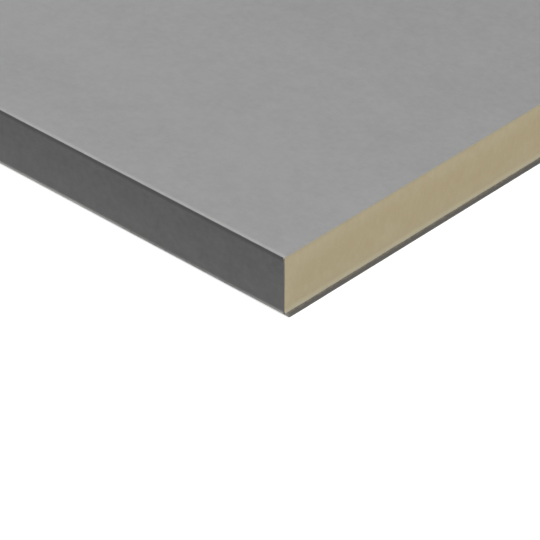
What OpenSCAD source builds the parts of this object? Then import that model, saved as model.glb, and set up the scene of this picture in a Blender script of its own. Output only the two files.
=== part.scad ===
// Polyiso roof insulation board, 4 ft x 4 ft x 1 in.
// A foam slab between two bonded facers. It lies on z = 0, centred on x and y.
// Its wrapped sides run along x and its two sawn ends face +x and -x.

/* [Board] */
// Length, over the facer lips at the two sawn ends
board_l = 1219.2; // [600:0.1:2438.4]
// Width, over the two wrapped sides
board_w = 1219.2; // [600:0.1:1219.2]
// Thickness, over both facers
board_t = 25.4; // [12.7:0.1:114.3]

/* [Facers] */
// Thickness of each facer sheet
facer_t = 0.6; // [0.3:0.1:1.5]
// Outer radius of the fold where the lower sheet turns up a side
fold_r = 2; // [1.6:0.1:6]
// How far the lower sheet reaches past the foam at each sawn end
end_lip = 2; // [0:0.1:5]

/* [Hidden] */
$fn = 96;
// Underside of the top sheet, where the foam and the turned-up sides stop
seam_z = board_t - facer_t;
// The foam and the top sheet are sawn to this length
sawn_l = board_l - 2 * end_lip;
// How far a cut reaches past the face it starts from
clear = 1;

// Outline of width w and height h, standing on y = 0, with its two lower corners rounded
module trough_outline(w, h, r) {
    translate([-w / 2, r]) square([w, h - r]);
    translate([r - w / 2, 0]) square([w - 2 * r, r]);
    for (side = [-1, 1])
        translate([side * (w / 2 - r), r]) circle(r);
}

// Extrudes an outline drawn in y and z along x, centred on x = 0
module along_board(length) {
    rotate([90, 0, 90]) linear_extrude(length, center = true) children();
}

// What the folded sheet holds: its corners share their centres with the folds
module foam_outline() {
    translate([0, facer_t])
        trough_outline(board_w - 2 * facer_t, seam_z - facer_t, fold_r - facer_t);
}

// Rigid foam slab, bare only at its two sawn ends
module foam_core() {
    color("#C4B691") along_board(sawn_l) foam_outline();
}

// Flat sheet over the whole top, flush with the sides and with the sawn foam
module top_facer() {
    color("#9A9A9A")
        translate([-sawn_l / 2, -board_w / 2, seam_z])
            cube([sawn_l, board_w, facer_t]);
}

// One sheet under the foam, turned up both sides as far as the top sheet.
// Past each sawn end only its flat bottom is left, as a lip.
module wrap_facer() {
    color("#707070")
        difference() {
            along_board(board_l) difference() {
                trough_outline(board_w, seam_z, fold_r);
                foam_outline();
            }
            for (end = [-1, 1])
                translate([end * (sawn_l + end_lip + clear) / 2, 0, facer_t + board_t / 2])
                    cube([end_lip + clear, board_w + 2 * clear, board_t], center = true);
        }
}

foam_core();
top_facer();
wrap_facer();
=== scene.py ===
# A polyiso roof insulation board: a slab of rigid foam with a felt facer bonded to each face.
# The file follows the board as it is made: the lower facer is folded into a trough, the foam rises
# in it, and the upper facer closes it. Lengths are in metres and the board lies on z = 0.
import math

import bmesh
import bpy
from mathutils import Matrix, Vector, noise


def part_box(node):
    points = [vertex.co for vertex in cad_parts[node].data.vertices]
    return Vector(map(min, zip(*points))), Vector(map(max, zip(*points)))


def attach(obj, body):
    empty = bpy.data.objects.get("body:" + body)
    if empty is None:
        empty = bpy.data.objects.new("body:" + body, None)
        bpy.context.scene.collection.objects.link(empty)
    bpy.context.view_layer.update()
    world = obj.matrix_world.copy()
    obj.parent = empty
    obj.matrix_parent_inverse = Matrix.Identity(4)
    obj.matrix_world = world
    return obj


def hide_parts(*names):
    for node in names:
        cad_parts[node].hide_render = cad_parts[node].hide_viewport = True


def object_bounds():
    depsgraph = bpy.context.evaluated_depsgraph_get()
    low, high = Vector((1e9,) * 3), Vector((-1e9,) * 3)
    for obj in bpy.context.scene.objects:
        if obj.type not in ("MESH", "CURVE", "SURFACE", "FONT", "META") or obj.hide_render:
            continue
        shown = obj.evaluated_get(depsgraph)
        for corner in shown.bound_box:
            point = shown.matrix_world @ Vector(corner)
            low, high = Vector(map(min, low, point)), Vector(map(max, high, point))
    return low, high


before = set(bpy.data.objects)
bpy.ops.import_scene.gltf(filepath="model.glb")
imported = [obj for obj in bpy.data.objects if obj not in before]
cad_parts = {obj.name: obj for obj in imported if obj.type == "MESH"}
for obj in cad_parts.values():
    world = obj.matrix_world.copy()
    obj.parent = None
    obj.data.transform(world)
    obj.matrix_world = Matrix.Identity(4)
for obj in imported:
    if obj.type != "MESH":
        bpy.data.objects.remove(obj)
cad_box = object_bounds()

# ---------------------------------------------------------------------------------------------
# Camera: a long lens 1.4 m away, aimed at the corner where a wrapped side meets a sawn end. It
# takes in only that corner, and the board's edges stay nearly parallel.
# ---------------------------------------------------------------------------------------------
MM = 0.001
AZIMUTH = math.radians(43.06)
ELEVATION = math.radians(34.24)
CAMERA_DISTANCE = 1.3663
SENSOR_WIDTH, LENS = 36, 256
CLIP_NEAR, CLIP_FAR = 0.05, 60
LEVEL = math.radians(90)
# The camera aims this far in from the sawn end and this far down from the top, on the wrapped side.
AIM_IN, AIM_DOWN = 6.5 * MM, 8.15 * MM

foam_low, foam_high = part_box("foam_core")
board_low, board_high = cad_box
aim = Vector((foam_high.x - AIM_IN, board_low.y, board_high.z - AIM_DOWN))
towards_camera = Vector((
    math.sin(AZIMUTH) * math.cos(ELEVATION),
    -math.cos(AZIMUTH) * math.cos(ELEVATION),
    math.sin(ELEVATION),
))
camera = bpy.data.objects.new("camera", bpy.data.cameras.new("camera"))
camera.data.sensor_width, camera.data.lens = SENSOR_WIDTH, LENS
camera.data.clip_start, camera.data.clip_end = CLIP_NEAR, CLIP_FAR
camera.location = aim + CAMERA_DISTANCE * towards_camera
camera.rotation_euler = (LEVEL - ELEVATION, 0, AZIMUTH)
bpy.context.scene.collection.objects.link(camera)
bpy.context.scene.camera = camera


# ---------------------------------------------------------------------------------------------
# Studio: a pale matt floor, one wide soft light and an even pale room round it. The floor and the
# room show as white, and the floor darkens where the board keeps the light off it.
# ---------------------------------------------------------------------------------------------
def linear(hex_colour):
    """The linear RGBA of an sRGB colour written as a hex string."""
    parts = [int(hex_colour[i : i + 2], 16) / 255 for i in (1, 3, 5)]
    return [c / 12.92 if c <= 0.04045 else ((c + 0.055) / 1.055) ** 2.4 for c in parts] + [1]


def add(tree, kind, inputs=None, **settings):
    """Adds a node. An input, by name or number, takes a value or is fed by a node or an output."""
    made = tree.nodes.new(kind)
    for name, value in settings.items():
        setattr(made, name, value)
    for socket, value in (inputs or {}).items():
        if isinstance(value, bpy.types.Node):
            value = next(output for output in value.outputs if output.enabled)
        if isinstance(value, bpy.types.NodeSocket):
            tree.links.new(value, made.inputs[socket])
        else:
            made.inputs[socket].default_value = value
    return made


def new_material(name):
    """A material of that name and its node tree, emptied."""
    made = bpy.data.materials.new(name)
    made.use_nodes = True
    made.node_tree.nodes.clear()
    return made, made.node_tree


def seen_directly(tree):
    """1 for camera, glossy and transmission rays, which show the studio, and 0 for those that light."""
    path = add(tree, "ShaderNodeLightPath")
    mirrored = add(tree, "ShaderNodeMath", {0: path.outputs["Is Camera Ray"],
                   1: path.outputs["Is Glossy Ray"]}, operation="MAXIMUM")
    return add(tree, "ShaderNodeMath", {0: mirrored, 1: path.outputs["Is Transmission Ray"]},
               operation="MAXIMUM")


WHITE = (1, 1, 1, 1)
ROOM_LIGHT = 0.34
FLOOR_SIZE = 60
FLOOR_PAINT = linear("#D0D0D0")
FLOOR_GLOW = 0.62

scene = bpy.context.scene
scene.view_settings.view_transform = "Standard"
scene.world = bpy.data.worlds.new("pale room")
scene.world.use_nodes = True
room = scene.world.node_tree
room.nodes.clear()
brightness = add(room, "ShaderNodeMapRange", {"Value": seen_directly(room), "To Min": ROOM_LIGHT,
                 "To Max": 1.0})
room_glow = add(room, "ShaderNodeBackground", {"Color": WHITE, "Strength": brightness})
add(room, "ShaderNodeOutputWorld", {"Surface": room_glow})

paint, coat = new_material("studio floor, matt white paint")
matt = add(coat, "ShaderNodeBsdfDiffuse", {"Color": FLOOR_PAINT})
glow_amount = add(coat, "ShaderNodeMath", {0: seen_directly(coat), 1: FLOOR_GLOW}, operation="MULTIPLY")
glow = add(coat, "ShaderNodeEmission", {"Color": WHITE, "Strength": glow_amount})
lit = add(coat, "ShaderNodeAddShader", {0: matt, 1: glow})
add(coat, "ShaderNodeOutputMaterial", {"Surface": lit})
shape = bmesh.new()
bmesh.ops.create_grid(shape, x_segments=1, y_segments=1, size=FLOOR_SIZE / 2)
floor = bpy.data.objects.new("floor", bpy.data.meshes.new("floor"))
shape.to_mesh(floor.data)
shape.free()
floor.data.materials.append(paint)
scene.collection.objects.link(floor)

# A soft light too wide and far to fall off across the board, high behind the camera.
SOFT_LIGHT_STRENGTH = 2.27
SOFT_LIGHT_WIDTH = math.radians(60)
SOFT_LIGHT_ELEVATION = math.radians(66)
soft_light = bpy.data.objects.new("soft light", bpy.data.lights.new("soft light", "SUN"))
soft_light.data.energy = SOFT_LIGHT_STRENGTH
soft_light.data.angle = SOFT_LIGHT_WIDTH
soft_light.rotation_euler = (LEVEL - SOFT_LIGHT_ELEVATION, 0, AZIMUTH)
scene.collection.objects.link(soft_light)

# ---------------------------------------------------------------------------------------------
# Lower facer: one sheet of glass-fibre felt, dark grey. It is creased up both long sides before
# the foam is poured on it, and its sawn ends are left a little long, so a lip shows past the foam.
# ---------------------------------------------------------------------------------------------
FACER_T = 0.6 * MM
FOLD_R = 2 * MM
FOLD_STEPS = 8
SIDE_STEPS = 8
LENGTH_STEPS = 64
WIDTH_STEPS = 384
LIP_STEPS = 2
WAVE_DEPTH = 0.12 * MM
WAVE_LENGTH = 90 * MM
LIP_UNEVENNESS = 0.12 * MM
SAW_BITE = 4 * MM
# Faces that meet at more than this make a sharp edge.
SHARP_ANGLE = math.radians(50)
# A face looks along an axis when its normal reaches further than this along it.
FACING = 0.5
# Places closer together than this count as one.
NEAR = 0.01 * MM


def box_mesh(low, high):
    """A bmesh holding one box."""
    made = bmesh.new()
    middle, size = (low + high) / 2, high - low
    bmesh.ops.create_cube(made, size=1, matrix=Matrix.Translation(middle) @ Matrix.Diagonal(size.to_4d()))
    return made


def edges_along(shape, axis, longer_than=0.0):
    """The edges of a bmesh that run along one axis and are longer than a given length."""
    across = [i for i in range(3) if i != axis]
    return [edge for edge in shape.edges
            if all(abs(edge.verts[0].co[i] - edge.verts[1].co[i]) < NEAR for i in across)
            and edge.calc_length() > longer_than]


def cut_up(shape, edges, steps):
    """Divides each of these edges into that many."""
    bmesh.ops.subdivide_edges(shape, edges=edges, cuts=steps - 1, use_grid_fill=True)


def waves(place, step):
    """Between -1 and 1: the gentle waves of a sheet bonded to foam. Each step gives other waves."""
    return noise.noise(place / WAVE_LENGTH + Vector((0, 0, step)))


def finished(name, shape):
    """The object for a finished bmesh: smooth but for its sharp and open edges."""
    shape.normal_update()
    for face in shape.faces:
        face.smooth = True
    for edge in shape.edges:
        edge.smooth = edge.calc_face_angle(math.pi) < SHARP_ANGLE
    made = bpy.data.objects.new(name, bpy.data.meshes.new(name))
    shape.to_mesh(made.data)
    shape.free()
    bpy.context.scene.collection.objects.link(made)
    return made


seam_z = foam_high.z
trough_low = Vector((foam_low.x, board_low.y, board_low.z))
trough_high = Vector((foam_high.x, board_high.y, seam_z))
shape = box_mesh(trough_low, trough_high)
open_faces = [face for face in shape.faces if face.normal.z > FACING or abs(face.normal.x) > FACING]
bmesh.ops.delete(shape, geom=open_faces, context="FACES")
creases = [edge for edge in edges_along(shape, 0) if edge.verts[0].co.z < NEAR]
bmesh.ops.bevel(shape, geom=creases, offset=FOLD_R, offset_type="OFFSET", segments=FOLD_STEPS,
                profile=0.5, affect="EDGES", material=-1)
lip_length = board_high.x - foam_high.x
for end in (-1, 1):
    foot = [edge for edge in shape.edges if edge.is_boundary
            and all(abs(v.co.x - end * foam_high.x) < NEAR and v.co.z < FACER_T for v in edge.verts)]
    lip = bmesh.ops.extrude_edge_only(shape, edges=foot)["geom"]
    bmesh.ops.translate(shape, vec=(end * lip_length, 0, 0),
                        verts=[v for v in lip if isinstance(v, bmesh.types.BMVert)])
cut_up(shape, edges_along(shape, 0, lip_length + NEAR), LENGTH_STEPS)
cut_up(shape, [edge for edge in edges_along(shape, 0)
               if all(abs(v.co.x) + NEAR > foam_high.x for v in edge.verts)], LIP_STEPS)
cut_up(shape, edges_along(shape, 2, FOLD_R), SIDE_STEPS)
cut_up(shape, edges_along(shape, 1, FOLD_R), WIDTH_STEPS)


def unfolded(place):
    """Where a point of the trough lay across the flat sheet before its sides were turned up."""
    flat_half = board_high.y - FOLD_R
    past = abs(place.y) - flat_half
    turned = math.atan2(past, FOLD_R - place.z) if place.z < FOLD_R else math.pi / 2
    along = min(abs(place.y), flat_half) + (FOLD_R * turned if past > 0 else 0)
    return math.copysign(along + max(place.z - FOLD_R, 0), place.y)


# The felt's pattern reads where each point lay on the flat sheet, so it follows the sheet round a fold.
flat_sheet = shape.loops.layers.uv.new("flat sheet")
for face in shape.faces:
    for loop in face.loops:
        loop[flat_sheet].uv = (loop.vert.co.x, unfolded(loop.vert.co))

# The sides hollow gently between the fold and the seam, and the saw cuts the lip a little short.
for vertex in shape.verts:
    rise = max(vertex.co.z - FOLD_R, 0) / (seam_z - FOLD_R)
    hollow = WAVE_DEPTH * (1 - waves(vertex.co, 0)) / 2 * math.sin(math.pi * rise)
    vertex.co.y -= math.copysign(hollow, vertex.co.y)
    if abs(vertex.co.x) + NEAR > board_high.x:
        short = LIP_UNEVENNESS * (1 - noise.noise(vertex.co / SAW_BITE)) / 2
        vertex.co.x -= math.copysign(short, vertex.co.x)

# The mesh is the sheet's outer face, and its thickness goes inwards.
wrap = finished("wrap_facer_sheet", shape)
thickness = wrap.modifiers.new("sheet thickness", "SOLIDIFY")
thickness.thickness = FACER_T
thickness.offset = -1
thickness.use_even_offset = True

# Felt is a wet-laid web of glass strands and paper pulp. Seen close it is matt and faintly mottled,
# with strands lying mostly along the web, and from far off it shows soft bands along the web.
# Real strands are 25 mm long and 0.013 mm thick, in loose bundles. The bundles are drawn coarse, to show.
STRAND = (6 * MM, 0.14 * MM, 0.14 * MM)
STRAND_WEIGHT = 0.5
STRAND_TURNS = (0, 38, -31, 84)
PULP = (2.8 * MM, 2.6 * MM, 2 * MM)
PULP_WEIGHT = 0.6
CLOUD = (10 * MM, 9 * MM, 9 * MM)
CLOUD_WEIGHT = 0.5
DRIFT = (60 * MM, 45 * MM, 45 * MM)
DRIFT_WEIGHT = 0.5
BAND = (700 * MM, 45 * MM, 45 * MM)
BAND_WEIGHT = 0.3
SWING = (2500 * MM, 300 * MM, 300 * MM)
SWING_WEIGHT = 2.0
FELT_ROUGHNESS = (0.84, 0.94)
FELT_RELIEF = 0.06 * MM
FINER_OCTAVES = 1
# A colour Mix node's sockets go by number, because its other kinds have sockets of the same names.
FACTOR, UNDER, OVER = 0, 6, 7


def mottle(tree, place, layers, middle=0.5):
    """Noises added up about a middle value. A layer is its patches' size, turn in degrees and weight."""
    total = middle - sum(weight for size, turn, weight in layers) / 2
    for size, turn, weight in layers:
        laid = add(tree, "ShaderNodeMapping", {"Vector": place, "Rotation": (0, 0, math.radians(turn)),
                   "Scale": size}, vector_type="TEXTURE")
        cloud = add(tree, "ShaderNodeTexNoise", {"Vector": laid, "Scale": 1, "Detail": FINER_OCTAVES})
        total = add(tree, "ShaderNodeMath", {0: cloud, 1: weight, 2: total}, operation="MULTIPLY_ADD")
    return total


def felt(tree, sheet, dark, light):
    """The felt's colour, roughness and relief, from coordinates in metres over the flat sheet."""
    strands = [(STRAND, turn, STRAND_WEIGHT) for turn in STRAND_TURNS]
    web = mottle(tree, sheet, strands + [(PULP, 0, PULP_WEIGHT)])
    broad = mottle(tree, sheet, [(CLOUD, 0, CLOUD_WEIGHT), (DRIFT, 0, DRIFT_WEIGHT),
                                 (BAND, 0, BAND_WEIGHT), (SWING, 0, SWING_WEIGHT)], middle=0.0)
    lightness = add(tree, "ShaderNodeMath", {0: web, 1: broad}, operation="ADD")
    colour = add(tree, "ShaderNodeMix", {FACTOR: lightness, UNDER: linear(dark), OVER: linear(light)},
                 data_type="RGBA")
    roughness = add(tree, "ShaderNodeMapRange", {"Value": web, "To Min": FELT_ROUGHNESS[1],
                    "To Max": FELT_ROUGHNESS[0]})
    relief = add(tree, "ShaderNodeBump", {"Height": web, "Distance": FELT_RELIEF, "Strength": 1})
    return colour, roughness, relief


# Felt creased over a steel edge. The outside of the fold is rubbed pale in patches, more on some
# stretches than on others; that paleness is partly painted light, bounced up from the floor. The side
# is painted faintly lighter towards the fold, as painted bounce light. The glue line under the upper
# facer is dark and partly painted seam shade. The lip is stained by the foam that once covered it, saw
# dust lies along its foot, and its sawn edge is a little paler.
WRAP_DARK, WRAP_LIGHT = "#565656", "#696969"
# Painted light: the fold's pale colour stands partly for rubbed felt and partly for light bounced up from
# the floor.
FOLD_RUB_AND_BOUNCE_LIGHT = linear("#C4C4C2")
FOLD_RUB_AND_BOUNCE_WIDTH = 2.4 * MM
FOLD_RUB_AND_BOUNCE_AMOUNT = 0.9
PALE_PATCH = (11 * MM, 2 * MM, 2 * MM)
PALE_PATCH_WEIGHT = 1.0
PALE_FLECK = (2 * MM, 0.5 * MM, 0.5 * MM)
PALE_FLECK_WEIGHT = 1.5
PALE_STRAND_WEIGHT = 2.0
PALE_STRETCH = (80 * MM, 26 * MM, 26 * MM)
PALE_STRETCH_WEIGHT = 3.2
PALE_MIDDLE = 1.42
# Painted bounce light: the side is painted faintly lighter towards the fold.
BOUNCE_LIGHT_WIDTH = 24 * MM
BOUNCE_LIGHT_AMOUNT = 0.045
# Partly painted shade: the dark line under the upper facer is glue and shade in the seam.
GLUE_AND_SEAM_SHADE = linear("#525252")
GLUE_AND_SEAM_SHADE_WIDTH = 1.8 * MM
DUSTY_LIP, BARE_LIP = linear("#79756C"), linear("#5D5A57")
DUST_SPREAD = 0.9 * MM
DUST_DRIFT = (1.5 * MM, 2.5 * MM, 1.5 * MM)
DUST_RAGGEDNESS = 1.6 * MM
LIP_STAIN = 0.8
SAWN_FELT = linear("#706F6B")
# Open fibres and cut cells throw back less light than a smooth surface does.
WEAK_SHEEN = 0.3

wrap_felt, tree = new_material("glass felt, dark grey, wet-laid and creased")
sheet = add(tree, "ShaderNodeUVMap", uv_map="flat sheet")
colour, roughness, relief = felt(tree, sheet, WRAP_DARK, WRAP_LIGHT)
spot = add(tree, "ShaderNodeSeparateXYZ", {"Vector": sheet})

# On the flat sheet, the fold's middle is half its arc past the board's flat bottom.
fold_middle = board_high.y - FOLD_R + FOLD_R * math.pi / 4
from_middle = add(tree, "ShaderNodeMath", {0: spot.outputs["Y"]}, operation="ABSOLUTE")
past_fold = add(tree, "ShaderNodeMath", {0: from_middle, 1: fold_middle}, operation="SUBTRACT")
from_fold = add(tree, "ShaderNodeMath", {0: past_fold}, operation="ABSOLUTE")
# Rub and painted bounce light on the fold, in patches.
crease = add(tree, "ShaderNodeMapRange", {"Value": from_fold, "From Max": FOLD_RUB_AND_BOUNCE_WIDTH,
             "To Min": FOLD_RUB_AND_BOUNCE_AMOUNT, "To Max": 0.0}, interpolation_type="SMOOTHSTEP")
patch_layers = [(PALE_PATCH, 0, PALE_PATCH_WEIGHT), (PALE_FLECK, 0, PALE_FLECK_WEIGHT),
        (STRAND, 0, PALE_STRAND_WEIGHT)]
stretches = [(PALE_STRETCH, 0, PALE_STRETCH_WEIGHT)]
patchy = mottle(tree, sheet, patch_layers + stretches, middle=PALE_MIDDLE)
# Painted bounce light, fading up the side from the fold.
painted_bounce_light = add(tree, "ShaderNodeMapRange", {"Value": from_fold, "From Max": BOUNCE_LIGHT_WIDTH,
              "To Min": BOUNCE_LIGHT_AMOUNT, "To Max": 0.0}, interpolation_type="SMOOTHSTEP")
lightening = add(tree, "ShaderNodeMath", {0: crease, 1: patchy, 2: painted_bounce_light}, operation="MULTIPLY_ADD")
colour = add(tree, "ShaderNodeMix", {FACTOR: lightening, UNDER: colour, OVER: FOLD_RUB_AND_BOUNCE_LIGHT}, data_type="RGBA")

# Dark glue and painted seam shade just under the upper facer.
sheet_edge = unfolded(Vector((0, board_high.y, seam_z)))
from_edge = add(tree, "ShaderNodeMath", {0: sheet_edge, 1: from_middle}, operation="SUBTRACT")
glue_and_seam_shade = add(tree, "ShaderNodeMapRange", {"Value": from_edge, "From Max": GLUE_AND_SEAM_SHADE_WIDTH, "To Min": 1.0,
            "To Max": 0.0}, interpolation_type="SMOOTHSTEP")
colour = add(tree, "ShaderNodeMix", {FACTOR: glue_and_seam_shade, UNDER: colour, OVER: GLUE_AND_SEAM_SHADE}, data_type="RGBA")

from_centre = add(tree, "ShaderNodeMath", {0: spot.outputs["X"]}, operation="ABSOLUTE")
past_foam = add(tree, "ShaderNodeMath", {0: from_centre, 1: foam_high.x}, operation="SUBTRACT")
ragged = mottle(tree, sheet, [(DUST_DRIFT, 0, DUST_RAGGEDNESS)], middle=0.0)
dust_line = add(tree, "ShaderNodeMath", {0: past_foam, 1: ragged}, operation="ADD")
dusty = add(tree, "ShaderNodeMapRange", {"Value": dust_line, "From Max": DUST_SPREAD, "To Min": 1.0,
            "To Max": 0.0}, interpolation_type="SMOOTHSTEP")
lip_colour = add(tree, "ShaderNodeMix", {FACTOR: dusty, UNDER: BARE_LIP, OVER: DUSTY_LIP},
                 data_type="RGBA")
on_lip = add(tree, "ShaderNodeMapRange", {"Value": past_foam, "From Min": NEAR, "From Max": 2 * NEAR,
             "To Max": LIP_STAIN})
colour = add(tree, "ShaderNodeMix", {FACTOR: on_lip, UNDER: colour, OVER: lip_colour}, data_type="RGBA")
side_end = add(tree, "ShaderNodeMath", {0: past_foam, 1: 0.0, 2: NEAR}, operation="COMPARE")
lip_end = add(tree, "ShaderNodeMath", {0: past_foam, 1: lip_length - NEAR}, operation="GREATER_THAN")
sawn = add(tree, "ShaderNodeMath", {0: side_end, 1: lip_end}, operation="MAXIMUM")
colour = add(tree, "ShaderNodeMix", {FACTOR: sawn, UNDER: colour, OVER: SAWN_FELT}, data_type="RGBA")
surface = add(tree, "ShaderNodeBsdfPrincipled", {"Base Color": colour, "Roughness": roughness,
              "Normal": relief, "Specular IOR Level": WEAK_SHEEN})
add(tree, "ShaderNodeOutputMaterial", {"Surface": surface})
wrap.data.materials.append(wrap_felt)
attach(wrap, "root")
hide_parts("wrap_facer")

# ---------------------------------------------------------------------------------------------
# Foam core: rigid closed-cell polyiso that rises between the facers and cures bonded to them. Only
# its sawn ends are bare, and the blade leaves them a hair behind the edges of the facers.
# ---------------------------------------------------------------------------------------------
END_GRID = 2 * MM
SAWN_BACK = 0.18 * MM
SAWN_RELIEF = 0.10 * MM
TEAR_LENGTH = 7 * MM

shape = box_mesh(foam_low, foam_high)
cut_up(shape, edges_along(shape, 1), round((foam_high.y - foam_low.y) / END_GRID))
cut_up(shape, edges_along(shape, 2), round((foam_high.z - foam_low.z) / END_GRID))
lower_edges = [edge for edge in edges_along(shape, 0) if edge.verts[0].co.z < foam_low.z + NEAR
               and abs(edge.verts[0].co.y) > foam_high.y - NEAR]
bmesh.ops.bevel(shape, geom=lower_edges, offset=FOLD_R - FACER_T, offset_type="OFFSET",
                segments=FOLD_STEPS // 2, profile=0.5, affect="EDGES", material=-1)
for vertex in shape.verts:
    tear = noise.noise(vertex.co / TEAR_LENGTH)
    vertex.co.x -= math.copysign(SAWN_BACK + SAWN_RELIEF * tear, vertex.co.x)
foam = finished("foam_slab", shape)

# Polyiso foam, sawn across: dull cream, finely grained with cut cells and streaked the way it rose.
# It is denser and paler towards each facer, most of all in the rind on the lower one, where it was
# poured. The paleness is partly painted light, filling in the shade that the lip and floor cast on the
# foot of the sawn end. Real cells are 0.2 mm across. They are drawn twice as coarse, to show.
CELL = 0.4 * MM
CELL_WEIGHT = 0.55
RISE_STREAK = (3 * MM, 2.2 * MM, 3.5 * MM)
STREAK_WEIGHT = 0.6
FOAM_CLOUD = (9 * MM, 14 * MM, 9 * MM)
FOAM_CLOUD_WEIGHT = 0.45
FOAM_DARK, FOAM_LIGHT = "#BCA988", "#C7BD9A"
# The paler foam near the facers is partly denser foam and partly painted light filling in shade.
PALE_FOAM_AND_FILL_LIGHT = linear("#E1D8BA")
DENSE_AND_LIT_DEPTH = 10 * MM
DENSE_AND_LIT_AMOUNT = 0.18
RIND_AND_LIT_DEPTH = 3 * MM
RIND_AND_LIT_AMOUNT = 1.0
CELL_RELIEF = 0.05 * MM
FOAM_ROUGHNESS = (0.86, 0.97)

sawn_foam, tree = new_material("polyiso foam, rigid, sawn")
place = add(tree, "ShaderNodeTexCoord").outputs["Object"]
cells = add(tree, "ShaderNodeTexVoronoi", {"Vector": place, "Scale": 1 / CELL})
grain = add(tree, "ShaderNodeMath", {0: cells, 1: CELL_WEIGHT, 2: -CELL_WEIGHT / 2},
            operation="MULTIPLY_ADD")
streaks = mottle(tree, place, [(RISE_STREAK, 0, STREAK_WEIGHT), (FOAM_CLOUD, 0, FOAM_CLOUD_WEIGHT)])
lightness = add(tree, "ShaderNodeMath", {0: streaks, 1: grain}, operation="ADD")
colour = add(tree, "ShaderNodeMix", {FACTOR: lightness, UNDER: linear(FOAM_DARK),
             OVER: linear(FOAM_LIGHT)}, data_type="RGBA")

spot = add(tree, "ShaderNodeSeparateXYZ", {"Vector": place})
above = add(tree, "ShaderNodeMath", {0: spot.outputs["Z"], 1: foam_low.z}, operation="SUBTRACT")
below = add(tree, "ShaderNodeMath", {0: foam_high.z, 1: spot.outputs["Z"]}, operation="SUBTRACT")
from_middle = add(tree, "ShaderNodeMath", {0: spot.outputs["Y"]}, operation="ABSOLUTE")
beside = add(tree, "ShaderNodeMath", {0: foam_high.y, 1: from_middle}, operation="SUBTRACT")
from_face = add(tree, "ShaderNodeMath", {0: above, 1: below}, operation="MINIMUM")
from_facer = add(tree, "ShaderNodeMath", {0: from_face, 1: beside}, operation="MINIMUM")
# Paler towards the facers: denser foam, and painted light where the lip and floor shade the foam.
dense_and_lit = add(tree, "ShaderNodeMapRange", {"Value": from_facer, "From Max": DENSE_AND_LIT_DEPTH,
            "To Min": DENSE_AND_LIT_AMOUNT, "To Max": 0.0}, interpolation_type="SMOOTHSTEP")
rind_and_lit = add(tree, "ShaderNodeMapRange", {"Value": above, "From Max": RIND_AND_LIT_DEPTH, "To Min": RIND_AND_LIT_AMOUNT,
           "To Max": 0.0}, interpolation_type="SMOOTHSTEP")
paleness_and_fill_light = add(tree, "ShaderNodeMath", {0: dense_and_lit, 1: rind_and_lit}, operation="ADD")
colour = add(tree, "ShaderNodeMix", {FACTOR: paleness_and_fill_light, UNDER: colour, OVER: PALE_FOAM_AND_FILL_LIGHT}, data_type="RGBA")
roughness = add(tree, "ShaderNodeMapRange", {"Value": lightness, "To Min": FOAM_ROUGHNESS[1],
                "To Max": FOAM_ROUGHNESS[0]})
relief = add(tree, "ShaderNodeBump", {"Height": grain, "Distance": CELL_RELIEF, "Strength": 1})
surface = add(tree, "ShaderNodeBsdfPrincipled", {"Base Color": colour, "Roughness": roughness,
              "Normal": relief, "Specular IOR Level": WEAK_SHEEN})
add(tree, "ShaderNodeOutputMaterial", {"Surface": surface})
foam.data.materials.append(sawn_foam)
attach(foam, "root")
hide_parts("foam_core")

# ---------------------------------------------------------------------------------------------
# Upper facer: a flat sheet of light grey felt that the rising foam meets and bonds to. It is as
# wide as the board, covers the tops of the turned-up sides and is sawn off with the foam.
# ---------------------------------------------------------------------------------------------
EDGE_ROUNDING = 0.12 * MM
EDGE_STEPS = 2
# The sheet's waves die away this close to its edges.
EDGE_STILLNESS = 50 * MM

cover_low = Vector((foam_low.x, board_low.y, seam_z))
cover_high = Vector((foam_high.x, board_high.y, board_high.z))
shape = box_mesh(cover_low, cover_high)
cut_up(shape, edges_along(shape, 0), LENGTH_STEPS)
cut_up(shape, edges_along(shape, 1), LENGTH_STEPS)
rim = [edge for edge in shape.edges if edge.calc_face_angle(0) > SHARP_ANGLE
       and all(vertex.co.z > board_high.z - NEAR for vertex in edge.verts)]
bmesh.ops.bevel(shape, geom=rim, offset=EDGE_ROUNDING, offset_type="OFFSET", segments=EDGE_STEPS,
                profile=0.5, affect="EDGES", material=-1)
for vertex in shape.verts:
    inside = min(foam_high.x - abs(vertex.co.x), board_high.y - abs(vertex.co.y)) / EDGE_STILLNESS
    if vertex.co.z > board_high.z - NEAR:
        vertex.co.z += WAVE_DEPTH * (waves(vertex.co, 1) - 1) / 2 * min(max(inside, 0), 1)
cover = finished("top_facer_sheet", shape)

# Coated felt, trimmed with a knife along the board and sawn across it. A painted highlight runs as a
# pale line just inside the long edge. The knife's cut bares the sheet's dark middle, and the saw's cut is
# dusty.
TOP_DARK, TOP_LIGHT = "#8D8D8D", "#999999"
# Painted highlight: a pale line along the long edge.
EDGE_HIGHLIGHT = linear("#B4B4B3")
EDGE_HIGHLIGHT_IN = 0.8 * MM
EDGE_HIGHLIGHT_SPREAD = 1.5 * MM
EDGE_HIGHLIGHT_AMOUNT = 0.45
SHEET_MIDDLE = linear("#545454")
SAW_DUST = linear("#B9B3A4")

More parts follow.
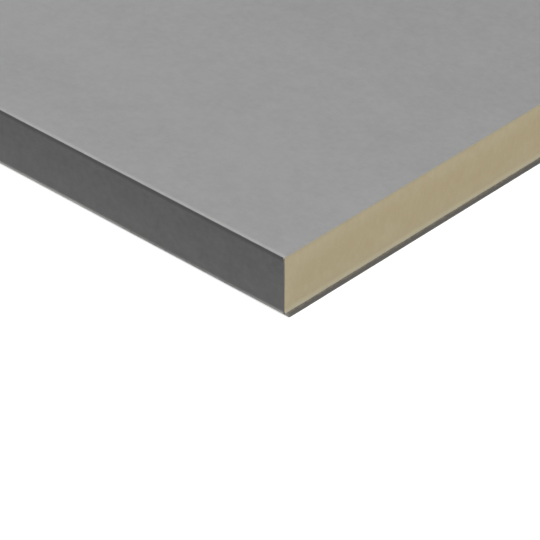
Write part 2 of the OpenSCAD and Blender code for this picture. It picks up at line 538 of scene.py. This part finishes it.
coated_felt, tree = new_material("coated glass felt, light grey, trimmed")
sheet = add(tree, "ShaderNodeTexCoord").outputs["Object"]
colour, roughness, relief = felt(tree, sheet, TOP_DARK, TOP_LIGHT)
spot = add(tree, "ShaderNodeSeparateXYZ", {"Vector": sheet})

from_middle = add(tree, "ShaderNodeMath", {0: spot.outputs["Y"]}, operation="ABSOLUTE")
past_line = add(tree, "ShaderNodeMath", {0: from_middle, 1: board_high.y - EDGE_HIGHLIGHT_IN},
                operation="SUBTRACT")
from_line = add(tree, "ShaderNodeMath", {0: past_line}, operation="ABSOLUTE")
# A painted highlight in patches just inside the long edge.
line = add(tree, "ShaderNodeMapRange", {"Value": from_line, "From Max": EDGE_HIGHLIGHT_SPREAD,
           "To Min": EDGE_HIGHLIGHT_AMOUNT, "To Max": 0.0}, interpolation_type="SMOOTHSTEP")
patchy = mottle(tree, sheet, patch_layers, middle=1.0)
lightening = add(tree, "ShaderNodeMath", {0: line, 1: patchy}, operation="MULTIPLY")
colour = add(tree, "ShaderNodeMix", {FACTOR: lightening, UNDER: colour, OVER: EDGE_HIGHLIGHT}, data_type="RGBA")

knifed = add(tree, "ShaderNodeMath", {0: from_middle, 1: board_high.y - EDGE_ROUNDING},
             operation="GREATER_THAN")
colour = add(tree, "ShaderNodeMix", {FACTOR: knifed, UNDER: colour, OVER: SHEET_MIDDLE}, data_type="RGBA")
from_centre = add(tree, "ShaderNodeMath", {0: spot.outputs["X"]}, operation="ABSOLUTE")
sawn = add(tree, "ShaderNodeMath", {0: from_centre, 1: foam_high.x - NEAR}, operation="GREATER_THAN")
colour = add(tree, "ShaderNodeMix", {FACTOR: sawn, UNDER: colour, OVER: SAW_DUST}, data_type="RGBA")
surface = add(tree, "ShaderNodeBsdfPrincipled", {"Base Color": colour, "Roughness": roughness,
              "Normal": relief, "Specular IOR Level": WEAK_SHEEN})
add(tree, "ShaderNodeOutputMaterial", {"Surface": surface})
cover.data.materials.append(coated_felt)
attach(cover, "root")
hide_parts("top_facer")
